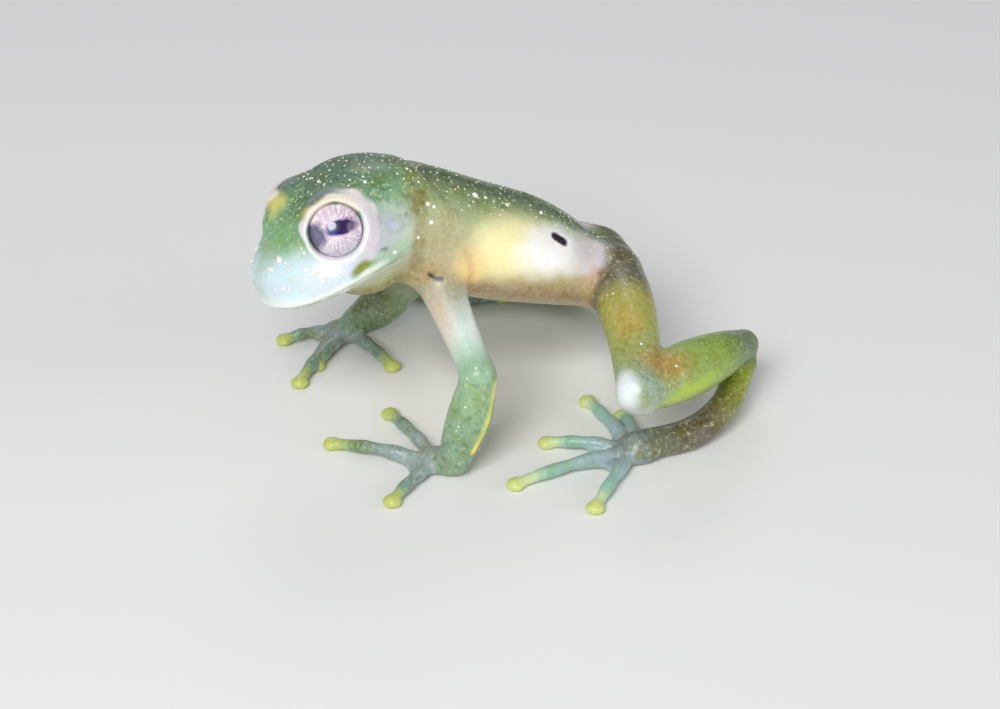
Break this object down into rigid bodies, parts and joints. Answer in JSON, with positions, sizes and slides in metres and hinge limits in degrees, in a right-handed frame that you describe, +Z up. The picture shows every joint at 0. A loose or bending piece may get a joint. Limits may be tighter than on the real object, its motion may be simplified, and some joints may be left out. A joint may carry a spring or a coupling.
{
  "type": "glass frog model",
  "caption": "Life-size still model of a small glass frog standing high on spread fingers and toes, head lowered, eyes at the sides.",
  "frame": {"origin": "centre of the bounding box on the floor plane", "axes": "+Z up, snout towards -X, left side towards -Y, fingers and toes on the floor"},
  "size_m": [0.0324, 0.0358, 0.0179],
  "materials": {
    "body_skin": "moist finely granular skin, grey-green above with cream flecks, cream to lavender-white on the flanks",
    "head_skin": "moist skin, grey-green above, bluish white with pale flecks on the sides of the snout",
    "limb_skin": "moist translucent skin, yellow-green with cream dots",
    "digit_skin": "moist translucent skin with yellow discs",
    "eye": "clear glossy eye, silvery lavender iris with a dark level pupil"
  },
  "bodies": {
    "root": {"head": "head_skin", "torso": "body_skin", "left_eye": "eye", "right_eye": "eye", "left_upper_arm": "limb_skin", "left_forearm": "limb_skin", "left_hand": "digit_skin", "right_upper_arm": "limb_skin", "right_forearm": "limb_skin", "right_hand": "digit_skin", "left_thigh": "limb_skin", "left_shank": "limb_skin", "left_tarsus": "limb_skin", "left_foot": "digit_skin", "right_thigh": "limb_skin", "right_shank": "limb_skin", "right_tarsus": "limb_skin", "right_foot": "digit_skin"}
  },
  "joints": []
}
